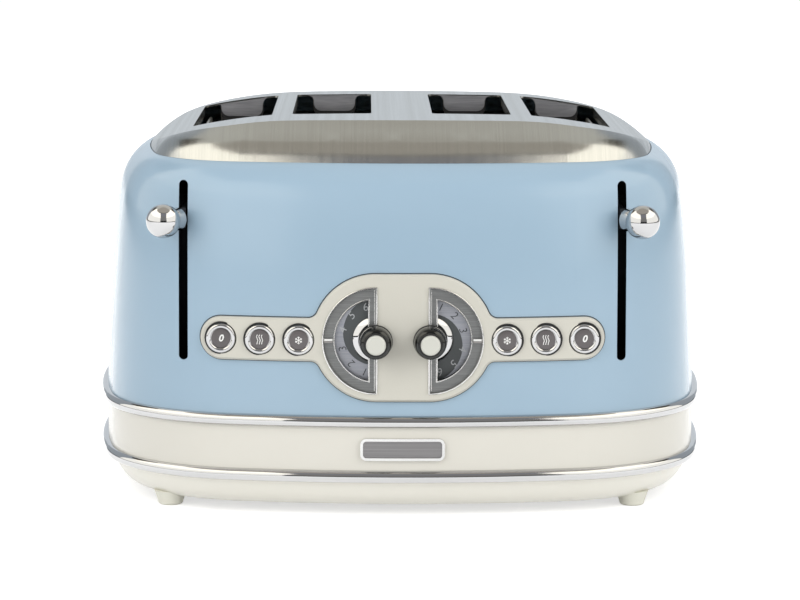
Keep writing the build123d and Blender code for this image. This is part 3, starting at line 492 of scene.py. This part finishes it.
# browning knobs: nose and cap ring are points of (radius, distance behind the front), skirt and root ring
# of (distance in from the knob's radius, distance behind the front)
browningKnob = {"nose": ((5.5, 0.0), (5.8, 0.25), (5.95, 1.2), (6.6, 1.5), (7.1, 2.1), (7.45, 3.0)),
                "skirt": ((0.15, 5.5), (0.0, 6.8), (0.0, 9.2), (0.3, 9.4), (0.3, 9.9), (0.0, 10.1),
                          (0.0, 11.6), (0.5, 12.2)),
                "rootRing": ((0.8, 10.3), (-0.28, 10.5), (-0.28, 11.5), (0.8, 11.7), (0.8, 10.3)),
                "capRing": ((5.7, -0.05), (5.8, 0.4)), "capRingGap": 0.02, "steps": 72, "shaft": 3.0,
                "capSeat": 1.0, "capGap": 0.25, "capLip": 0.15, "capRound": 1.0, "capCrown": 0.08,
                "capSteps": 6}


def makeKnob(hand):
    low, high = nodeBox(f"{hand}_browning_knob")
    capLow, capHigh = nodeBox(f"{hand}_knob_cap")
    x, z, front = (low.x + high.x) / 2, (low.z + high.z) / 2, low.y
    radius, capRadius = (high.x - low.x) / 2, (capHigh.x - capLow.x) / 2
    steps, shaft, seat = browningKnob["steps"], browningKnob["shaft"], front + browningKnob["capSeat"]

    def fromRim(points):
        return [(radius - inward, front + behind) for inward, behind in points]

    def fromAxis(points):
        return [(reach, front + behind) for reach, behind in points]

    profile = [(0, seat), (capRadius, seat)]
    profile += [(capRadius + browningKnob["capGap"], front + browningKnob["capLip"])]
    profile += fromAxis(browningKnob["nose"]) + fromRim(browningKnob["skirt"])
    profile += [(shaft, profile[-1][1]), (shaft, high.y), (0, high.y)]
    bm = bmesh.new()
    turnProfile(bm, profile, x, z, steps)
    faceOutward(bm)
    placePiece(f"{hand}-knob-body", bm, f"{hand}_knob", "knobDark", (f"{hand}_browning_knob",))
    bm = bmesh.new()                                                   # black rings of painted shade at the knob's root and in the gap round the cap
    turnProfile(bm, fromRim(browningKnob["rootRing"]), x, z, steps)
    inner = capRadius + browningKnob["capRingGap"]
    first, last = browningKnob["capRing"]
    capRing = fromAxis([(inner, first[1]), first, last, (inner, last[1]), (inner, first[1])])
    turnProfile(bm, capRing, x, z, steps)
    faceOutward(bm)
    placePiece(f"{hand}-knob-shade-rings", bm, f"{hand}_knob", "gapAndShadeBlack")
    bm = bmesh.new()                                                   # cream cap, nearly flat, round edge
    tip, crown, rounding = capLow.y, browningKnob["capCrown"], browningKnob["capRound"]
    dome = [(0, tip), (capRadius / 2, tip + crown / 2)]
    for angle in quarterTurn(browningKnob["capSteps"]):
        dome.append((capRadius - rounding + rounding * math.sin(angle),
                     tip + crown + rounding * (1 - math.cos(angle))))
    turnProfile(bm, dome + [(capRadius, capHigh.y), (0, capHigh.y)], x, z)
    faceOutward(bm)
    placePiece(f"{hand}-knob-button", bm, f"{hand}_knob", "capCream", (f"{hand}_knob_cap",))
    return x, z


# gauges: the print keeps its full reach up to printFull degrees, narrows over printSpan degrees and widens
# again; collar is points of (radius, distance before its back)
gauge = {"digitSize": 5.4, "digitReach": 16.5, "digitProud": 0.03, "digitShear": 0.12, "digitWeight": -0.03,
         "digitTurns": (72, 45, 16, -16, -45, -72), "lightDigits": "456",
         "printProud": 0.03, "printInset": 0.1, "printInner": 12.5, "printCurve": 1.6, "printStep": 3,
         "printFull": 110, "printSpan": 160, "printWiden": 310, "printWrap": 250,
         "collar": ((8.3, 0.0), (11.3, 0.0), (11.3, 0.5), (11.05, 0.75), (8.8, 2.15), (8.5, 2.2),
                    (8.3, 2.0), (8.3, 0.0)),
         "collarSink": 0.35, "collarSweep": 160, "collarSteps": 40,
         "barSize": (4.0, 1.4, 0.9), "barReach": 24.9, "barSink": 0.45, "barRound": 0.15, "barAngle": 30}


def printReach(turn, full):
    # distance of the dark print's edge from the disc's middle: full at its wide end, narrow at the other
    span, widen, inner = gauge["printSpan"], gauge["printWiden"], gauge["printInner"]
    past = (turn - gauge["printFull"]) % 360
    if past >= gauge["printWrap"]:
        past = 0
    if past > span:
        past = (widen - past) / (widen - span) * span
    return inner + (full - inner) * (1 - past / span) ** gauge["printCurve"]


def makeDarkPrint(hand, x, y, z, radius, half):
    bm = bmesh.new()
    rim = []
    for turn in range(0, 360, gauge["printStep"]):
        reach, angle = printReach(turn, radius - gauge["printInset"]), math.radians(turn + half)
        rim.append(bm.verts.new((x + reach * math.cos(angle), y, z + reach * math.sin(angle))))
    thicken(bm, bm.faces.new(rim), (0, -gauge["printProud"], 0))
    faceOutward(bm)
    placePiece(f"{hand}-dark-print", bm, f"{hand}_knob", "discDark")


def makeDigits(side, hand, x, y, z):
    light, dark = bmesh.new(), bmesh.new()
    for digit, turn in zip("654321" if side < 0 else "123456", gauge["digitTurns"]):
        angle = 180 - turn if side < 0 else turn
        reach = gauge["digitReach"]
        place = facing(x + reach * math.cos(math.radians(angle)), y - gauge["printProud"],
                       z + reach * math.sin(math.radians(angle)), angle - 90)
        drawn = drawText(digit, gauge["digitSize"], gauge["digitProud"], gauge["digitShear"],
                         gauge["digitWeight"])
        addDrawn(light if digit in gauge["lightDigits"] else dark, drawn, place)
    placePiece(f"{hand}-light-digits", light, f"{hand}_knob", "digitPrint")
    placePiece(f"{hand}-dark-digits", dark, f"{hand}_knob", "digitDark")


def makeCollar(hand, x, y, z, half):
    # half collar on the outer side of the knob
    bm = bmesh.new()
    sweep = gauge["collarSweep"]
    turnProfile(bm, [(radius, y - gauge["collarSink"] - rise) for radius, rise in gauge["collar"]], x, z,
                gauge["collarSteps"], sweep, 180 - half - sweep / 2)
    fillEnds(bm)
    faceOutward(bm)
    placePiece(f"{hand}-collar", bm, "casing", "trimChrome")


def makeIndexBars(side, hand, x, z):
    # white index bar across the dial band, with a grey one under it that is painted shade
    length, depth, height = gauge["barSize"]
    y = nodeBox(f"{hand}_dial_band")[0].y + gauge["barSink"]
    for part, finish, shift in (("bar", "whitePrint", 0.5), ("bar-shade", "barShadeGrey", -0.5)):
        bm = bmesh.new()
        place = Matrix.Translation((x + side * (gauge["barReach"] - length / 2), y, z + shift * height))
        bmesh.ops.create_cube(bm, size=1, matrix=place @ Matrix.Diagonal((length, depth, height, 1)))
        softenEdges(bm, gauge["barRound"], gauge["barAngle"])
        placePiece(f"{hand}-index-{part}", bm, "casing", finish)


# beads on the gauge rims: round the outer moon, on the flat side of the dial band, and round the window
gaugeBeads = {"outer": 0.5, "outerIn": 0.4, "flatLine": 0.2, "flatGap": 1.45, "flatShort": 1.2,
              "window": 0.34, "windowReach": 20.1, "windowInset": 3.4, "sink": 0.12, "turnStep": 5,
              "runSteps": 18, "roundness": 3}


def moonLine(side, x, z, flat, radius):
    # half moon from the top of its flat side round to the bottom, then back up
    reach = math.sqrt(radius ** 2 - (flat - x) ** 2)
    first = math.degrees(math.atan2(reach, side * (flat - x)))
    count = round(2 * first / gaugeBeads["turnStep"])
    line = []
    for index in range(count + 1):
        angle = math.radians(first - 2 * first * index / count)
        line.append((x + side * radius * math.cos(angle), z + radius * math.sin(angle)))
    steps = gaugeBeads["runSteps"]
    line += [(flat, z - reach + 2 * reach * index / steps) for index in range(1, steps)]
    return line


def addBead(bm, line, radius, tree, closed=True):
    curve = newWire(radius, gaugeBeads["roundness"])
    spline = curve.splines.new("POLY")
    spline.points.add(len(line) - 1)
    for knot, (x, z) in zip(spline.points, line):
        knot.co = (x, frontOf(tree, x, z) + gaugeBeads["sink"], z, 1)
    spline.use_cyclic_u = closed
    addDrawn(bm, bpy.data.objects.new("drawnWire", curve), Matrix.Identity(4))


def makeGaugeBeads(side, hand, x, z):
    low, high = nodeBox(f"{hand}_gauge_frame")
    flat = high.x if side < 0 else low.x
    radius = (high.z - low.z) / 2 - gaugeBeads["outerIn"]
    frameTree, bandTree = surfaceTree(f"{hand}_gauge_frame"), surfaceTree(f"{hand}_dial_band")
    bm = bmesh.new()
    outer = moonLine(side, x, z, flat + side * gaugeBeads["outerIn"], radius)
    addBead(bm, outer, gaugeBeads["outer"], frameTree)
    flatX, steps = flat + side * gaugeBeads["flatGap"], gaugeBeads["runSteps"]
    reach = radius - gaugeBeads["flatShort"]
    line = [(flatX, z - reach + 2 * reach * index / steps) for index in range(steps + 1)]
    addBead(bm, line, gaugeBeads["flatLine"], bandTree, closed=False)
    window = moonLine(side, x, z, x + side * gaugeBeads["windowInset"], gaugeBeads["windowReach"])
    addBead(bm, window, gaugeBeads["window"], frameTree)
    placePiece(f"{hand}-gauge-beads", bm, "casing", "satinChrome")


def makeGauge(side, hand, x, z):
    low, high = nodeBox(f"{hand}_number_disc")
    half = 0 if side < 0 else 180
    makeDarkPrint(hand, x, low.y, z, (high.x - low.x) / 2, half)
    makeDigits(side, hand, x, low.y, z)
    makeCollar(hand, x, low.y, z, half)
    makeIndexBars(side, hand, x, z)
    makeGaugeBeads(side, hand, x, z)


for hand, side in hands.items():
    x, z = makeKnob(hand)
    makeGauge(side, hand, x, z)
print("knobs and gauges made")

# feet: a cone with a rounded sole, where the plain ones stand; sole, bottom, top and cadTop are radii
foot = {"sole": 4.8, "bottom": 6.3, "top": 8.2, "cadTop": 8.25, "height": 7.3, "round": 1.6,
        "roundSteps": 5, "steps": 48}


def makeFeet():
    low, high = nodeBox("feet")
    across, along = high.x - foot["cadTop"], (high.y - low.y) / 2 - foot["cadTop"]
    profile = [(0, 0)]
    for angle in quarterTurn(foot["roundSteps"]):
        profile.append((foot["sole"] + (foot["bottom"] - foot["sole"]) * math.sin(angle),
                        foot["round"] * (1 - math.cos(angle))))
    profile += [(foot["top"], foot["height"]), (0, foot["height"])]
    bm = bmesh.new()
    for cornerX in (-across, across):
        for cornerY in (-along, along):
            middle = Vector((cornerX, cornerY + (high.y + low.y) / 2, 0))
            line, edges = drawChain(bm, [middle + Vector((radius, 0, rise)) for radius, rise in profile])
            bmesh.ops.spin(bm, geom=line + edges, cent=middle, axis=(0, 0, 1), angle=math.radians(360),
                           steps=foot["steps"], use_merge=True)
    bmesh.ops.remove_doubles(bm, verts=bm.verts, dist=drawing["weld"])
    faceOutward(bm)
    placePiece("turned-feet", bm, "casing", "footCream", ("feet",))


# thin dark line round the control panel, whose arms end in half rounds of radius arm
panelLine = {"gap": 0.05, "width": 0.5, "lift": 0.04, "arm": 10.4, "neck": 5.0, "step": 4, "weld": 0.001}


def panelOutline(grow):
    # right half of the panel's outline from the top middle to the bottom middle, as points in x and z
    low, high = nodeBox("control_panel")
    buttonLow, buttonHigh = nodeBox("right_stop_button")
    knobLow, knobHigh = nodeBox("right_browning_knob")
    armZ, endX = (buttonLow.z + buttonHigh.z) / 2, high.x - panelLine["arm"]
    arm, neck = panelLine["arm"] + grow, panelLine["neck"] - grow
    lobeX, lobeZ, lobe = (knobLow.x + knobHigh.x) / 2, (low.z + high.z) / 2, (high.z - low.z) / 2 + grow
    points = []

    def arc(middle, radius, first, last):
        count = max(2, round(abs(last - first) / panelLine["step"]))
        for index in range(count + 1):
            angle = math.radians(first + (last - first) * index / count)
            points.append((middle[0] + radius * math.cos(angle), middle[1] + radius * math.sin(angle)))

    def run(first, last, z):
        count = max(1, round(abs(last - first) / panelLine["step"]))
        points.extend((first + (last - first) * index / count, z) for index in range(count + 1))

    def neckMiddle(way):
        # middle of the fillet between lobe and arm, and its direction from the lobe's middle
        rise = armZ + way * (arm + neck) - lobeZ
        middle = (lobeX + math.sqrt((lobe + neck) ** 2 - rise ** 2), lobeZ + rise)
        return middle, math.degrees(math.atan2(middle[1] - lobeZ, middle[0] - lobeX))

    upper, turnUp = neckMiddle(1)
    lower, turnDown = neckMiddle(-1)
    run(0, lobeX, lobeZ + lobe)
    arc((lobeX, lobeZ), lobe, 90, turnUp)
    arc(upper, neck, turnUp + 180, 270)
    run(upper[0], endX, armZ + arm)
    arc((endX, armZ), arm, 90, -90)
    run(endX, lower[0], armZ - arm)
    arc(lower, neck, 90, turnDown + 180)
    arc((lobeX, lobeZ), lobe, turnDown, -90)
    run(lobeX, 0, lobeZ - lobe)
    return points


def makePanelLine():
    tree = surfaceTree("body_shell")
    bm = bmesh.new()
    for way in (-1, 1):
        edges = []
        for grow in (panelLine["gap"], panelLine["gap"] + panelLine["width"]):
            edges += drawChain(bm, [(way * x, frontOf(tree, way * x, z) - panelLine["lift"], z)
                                    for x, z in panelOutline(grow)])[1]
        bmesh.ops.bridge_loops(bm, edges=edges)
    bmesh.ops.remove_doubles(bm, verts=bm.verts, dist=panelLine["weld"])
    faceOutward(bm)
    placePiece("panel-shadow-line", bm, "casing", "shadowLine")


makeFeet()
makePanelLine()
print("feet and panel line made")

# tongues at the ends of the bread slots, before the plain ones of the plate, each on a black sheet of
# painted shade;
# walls are places along y with the direction into the slot's end
slotEnds = {"slots": (-85.5, -35.3, 35.3, 85.5), "walls": ((-57.0, -1), (73.0, 1)), "sink": 0.05,
            "probe": 3, "cornerSteps": 6}
slotShade = {"half": 11.65, "drop": 1.0, "flare": 0.0, "depth": 12.3, "corner": 5.8, "thick": 0.2}
tongue = {"half": 11.2, "drop": 0.5, "flare": 3.2, "depth": 9.0, "corner": 4.2, "thick": 0.5, "round": 0.12,
          "roundAngle": 50}


def tongueOutline(values):
    # whole outline as points of (across, down): upper corners flared if there is a flare, lower ones round
    flare, half, drop, depth, corner = (values[key] for key in ("flare", "half", "drop", "depth", "corner"))
    right = [] if flare else [(half, drop)]
    if flare:
        for angle in quarterTurn(slotEnds["cornerSteps"]):
            right.append((half + flare - flare * math.sin(angle), drop + flare - flare * math.cos(angle)))
    for angle in quarterTurn(slotEnds["cornerSteps"]):
        right.append((half - corner + corner * math.cos(angle), depth - corner + corner * math.sin(angle)))
    return right + [(-across, down) for across, down in reversed(right)]


def addTongue(bm, tree, x, wall, way, values, back):
    # the top edge follows the plate above it, the rest hangs level
    def topOf(place):
        start = Vector((place, wall + way * slotEnds["probe"] + bodyMiddle, drawing["probeReach"]))
        return tree.ray_cast(start * mm, Vector((0, 0, -1)))[0].z / mm

    middle = topOf(x)
    ring = []
    for across, down in tongueOutline(values):
        share = max(0.0, 1 - (down - values["drop"]) / tongue["flare"])
        height = topOf(x + across) * share + middle * (1 - share) - down
        ring.append(bm.verts.new((x + across, wall + way * back, height)))
    front = back - slotEnds["sink"] - values["thick"]
    thicken(bm, bm.faces.new(ring), (0, way * (front - back), 0))


def makeTongues():
    tree = surfaceTree("top_plate")
    sheet, steel = bmesh.new(), bmesh.new()
    for x in slotEnds["slots"]:
        for wall, way in slotEnds["walls"]:
            addTongue(sheet, tree, x, wall, way, slotShade, slotEnds["sink"])
            addTongue(steel, tree, x, wall, way, tongue, slotEnds["sink"] - slotShade["thick"])
    faceOutward(sheet)
    # the black sheets paint the shade inside the slots' ends
    placePiece("slot-shade-sheets", sheet, "casing", "gapAndShadeBlack")
    faceOutward(steel)
    softenEdges(steel, tongue["round"], tongue["roundAngle"])
    placePiece("slot-tongues", steel, "casing", "tongueSteel")


makeTongues()
print("slot tongues made")

# return springs, coiled in the place of the plain ones
spring = {"wire": 0.7, "wireSides": 10, "turns": 10, "turnSteps": 24, "keep": 0.2}


def makeSpring(hand):
    low, high = nodeBox(f"{hand}_return_spring")
    x, y, wire = (low.x + high.x) / 2, (low.y + high.y) / 2, spring["wire"]
    start = Vector((high.x - wire, y, low.z + wire))
    steps = spring["turns"] * spring["turnSteps"]
    bm = bmesh.new()
    bmesh.ops.create_circle(bm, segments=spring["wireSides"], radius=wire,
                            matrix=Matrix.Translation(start) @ Matrix.Rotation(math.radians(90), 4, "X"))
    bmesh.ops.spin(bm, geom=bm.verts[:] + bm.edges[:], cent=(x, y, 0), axis=(0, 0, 1),
                   angle=math.radians(360 * spring["turns"]), steps=steps,
                   dvec=(0, 0, (high.z - low.z - 2 * wire) / steps), use_merge=False)
    fillEnds(bm)
    faceOutward(bm)
    piece = placePiece(f"{hand}-coil-spring", bm, "casing", "wireSteel",
                       (f"{hand}_return_spring",))
    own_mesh(piece)


for hand in hands:
    makeSpring(hand)
print("springs made")

# light, floor and camera, in metres; each softbox has its place, power and size, and aims at the target
studio = {"ambient": 0.6, "floorGlow": 0.57, "floorColour": (0.75, 0.75, 0.75), "floorRough": 0.6,
          "floorSize": 60.0, "target": (0, 0, 0.1)}
softboxes = {
    "leftSoftbox": ((-1.57, -1.94, 1.15), 32.0, 2.1),
    "rightSoftbox": ((1.83, -1.7, 1.15), 32.0, 2.1),
    "topSoftbox": ((0.0, 0.9, 2.2), 12.0, 1.8),
    "rearSoftbox": ((0.0, 2.35, 1.2), 20.0, 2.1),
}


def addSoftbox(name, place, power, size):
    light = bpy.data.lights.new(name, "AREA")
    light.energy = power
    light.shape = "SQUARE"
    light.size = size
    lamp = bpy.data.objects.new(name, light)
    lamp.location = place
    bpy.context.scene.collection.objects.link(lamp)
    lamp.rotation_euler = (Vector(studio["target"]) - lamp.location).to_track_quat("-Z", "Y").to_euler()
    lamp.visible_glossy = False                                        # reflections see the dome instead


def seenRays(tree):
    # 1 for rays that show the background: from the camera, off metal and through glass
    path = tree.nodes.new("ShaderNodeLightPath")
    seen = path.outputs["Is Camera Ray"]
    for kind in ("Is Glossy Ray", "Is Transmission Ray"):
        either = tree.nodes.new("ShaderNodeMath")
        either.operation = "MAXIMUM"
        tree.links.new(seen, either.inputs[0])
        tree.links.new(path.outputs[kind], either.inputs[1])
        seen = either.outputs[0]
    return seen


def makeWorld():
    world = bpy.data.worlds.new("studioWorld")
    bpy.context.scene.world = world
    world.use_nodes = True
    tree = world.node_tree
    level = tree.nodes.new("ShaderNodeMapRange")
    level.inputs["To Min"].default_value = studio["ambient"]
    level.inputs["To Max"].default_value = 1.0
    tree.links.new(seenRays(tree), level.inputs["Value"])
    background = tree.nodes["Background"]
    background.inputs["Color"].default_value = (1, 1, 1, 1)
    tree.links.new(level.outputs["Result"], background.inputs["Strength"])


def makeFloor():
    material = bpy.data.materials.new("paleFloor")
    material.use_nodes = True
    tree = material.node_tree
    shader = tree.nodes["Principled BSDF"]
    shader.inputs["Base Color"].default_value = (*studio["floorColour"], 1)
    shader.inputs["Roughness"].default_value = studio["floorRough"]
    shader.inputs["Specular IOR Level"].default_value = 0.0
    shader.inputs["Emission Color"].default_value = (1, 1, 1, 1)
    glow = tree.nodes.new("ShaderNodeMath")
    glow.operation = "MULTIPLY"
    glow.inputs[1].default_value = studio["floorGlow"]
    tree.links.new(seenRays(tree), glow.inputs[0])
    tree.links.new(glow.outputs[0], shader.inputs["Emission Strength"])
    bm = bmesh.new()
    bmesh.ops.create_grid(bm, x_segments=1, y_segments=1, size=studio["floorSize"] / 2)
    floor = meshObject("floor", bm, material)


# dome of reflector cards that only reflections see: each has its range of degrees round from the front,
# its range of degrees up from the floor, and its brightness; radius and weld are metres, step is degrees
dome = {"radius": 3.6, "near": 3.4, "step": 6, "weld": 0.0001}
domeCards = {
    "frontCard": ((-17, 24), (0, 11), (0.035, 0.035, 0.035)),
    "frontMiddleCard": ((-17, 24), (11, 38), (0.30, 0.295, 0.285)),
    "frontUpperCard": ((-17, 24), (38, 64), (0.31, 0.31, 0.335)),
    "leftCard": ((-122, -17), (0, 30), (1.5, 1.47, 1.38)),
    "rightCard": ((24, 122), (0, 30), (1.5, 1.47, 1.38)),
    "leftUpperCard": ((-122, -17), (30, 60), (2.1, 2.0, 1.78)),
    "rightUpperCard": ((24, 122), (30, 60), (2.1, 2.0, 1.78)),
    "leftHighCard": ((-122, -17), (60, 68), (0.54, 0.50, 0.44)),
    "rightHighCard": ((24, 122), (60, 68), (0.54, 0.50, 0.44)),
    "frontHighCard": ((-17, 24), (64, 68), (0.54, 0.50, 0.44)),
    "crownCard": ((0, 360), (68, 90), (0.54, 0.50, 0.44)),
    "rearUpperCard": ((122, 238), (40, 68), (0.76, 0.745, 0.68)),
    "rearLowCard": ((160, 200), (0, 40), (0.72, 0.77, 0.82)),
    "leftRearLowCard": ((-160, -122), (0, 40), (0.42, 0.46, 0.50)),
    "rightRearLowCard": ((122, 160), (0, 40), (0.42, 0.46, 0.50)),
}
# nearer cards: a dark horizon, dark spots that the ends of the apron mirror, and a wedge over the front
nearCards = {
    "horizonCard": ((-150, 150), (0.2, 3.4), (0.05, 0.05, 0.05)),
    "leftSpotCard": ((-146, -120), (34, 48), (0.1, 0.09, 0.07)),
    "rightSpotCard": ((120, 146), (34, 48), (0.1, 0.09, 0.07)),
    "wedgeLowCard": ((-20, 27), (38, 50), (0.31, 0.31, 0.335)),
    "wedgeMiddleCard": ((-26, 33), (50, 58), (0.31, 0.31, 0.335)),
    "wedgeHighCard": ((-50, 57), (58, 64), (0.30, 0.285, 0.26)),
}


def makeGlow(name, glow):
    material = bpy.data.materials.new(name)
    material.use_nodes = True
    shader = material.node_tree.nodes["Principled BSDF"]
    shader.inputs["Base Color"].default_value = (0, 0, 0, 1)
    shader.inputs["Specular IOR Level"].default_value = 0.0
    shader.inputs["Emission Color"].default_value = (*glow, 1)
    shader.inputs["Emission Strength"].default_value = 1.0
    return material


def addDomeCard(name, radius, around, up, glow):
    bm = bmesh.new()
    count = max(1, round((up[1] - up[0]) / dome["step"]))
    turn = Matrix.Rotation(math.radians(around[0]), 4, "Z")
    points = []
    for index in range(count + 1):
        rise = math.radians(up[0] + (up[1] - up[0]) * index / count)
        points.append(turn @ Vector((0, -radius * math.cos(rise), radius * math.sin(rise))))
    line, edges = drawChain(bm, points)
    sweep = around[1] - around[0]
    bmesh.ops.spin(bm, geom=line + edges, cent=(0, 0, 0), axis=(0, 0, 1), angle=math.radians(sweep),
                   steps=max(1, round(sweep / dome["step"])), use_merge=sweep == 360)
    bmesh.ops.remove_doubles(bm, verts=bm.verts, dist=dome["weld"])
    card = meshObject(name, bm, makeGlow(name, glow))
    card.visible_camera = card.visible_diffuse = card.visible_shadow = card.visible_transmission = False


# the photo's camera: lens and sensor in mm, place in metres, and its turns in degrees
cameraView = {"lens": 148.6, "sensor": 36.0, "place": (-0.018, -1.7177, 0.3262), "pitch": 7.87, "yaw": 0.6,
              "roll": -0.2}


def makeCamera():
    camera = bpy.data.objects.new("photoCamera", bpy.data.cameras.new("photoCamera"))
    camera.data.lens = cameraView["lens"]
    camera.data.sensor_width = cameraView["sensor"]
    bpy.context.scene.collection.objects.link(camera)
    turn = (Matrix.Rotation(math.radians(-cameraView["yaw"]), 4, "Z")
            @ Matrix.Rotation(math.radians(90 - cameraView["pitch"]), 4, "X")
            @ Matrix.Rotation(math.radians(-cameraView["roll"]), 4, "Z"))
    camera.matrix_world = Matrix.Translation(cameraView["place"]) @ turn
    bpy.context.scene.camera = camera


makeWorld()
makeFloor()
for name, (place, power, size) in softboxes.items():
    addSoftbox(name, place, power, size)
for radius, cards in ((dome["radius"], domeCards), (dome["near"], nearCards)):
    for name, (around, up, glow) in cards.items():
        addDomeCard(name, radius, around, up, glow)
makeCamera()
bpy.context.scene.view_settings.view_transform = "Standard"
print("studio made")
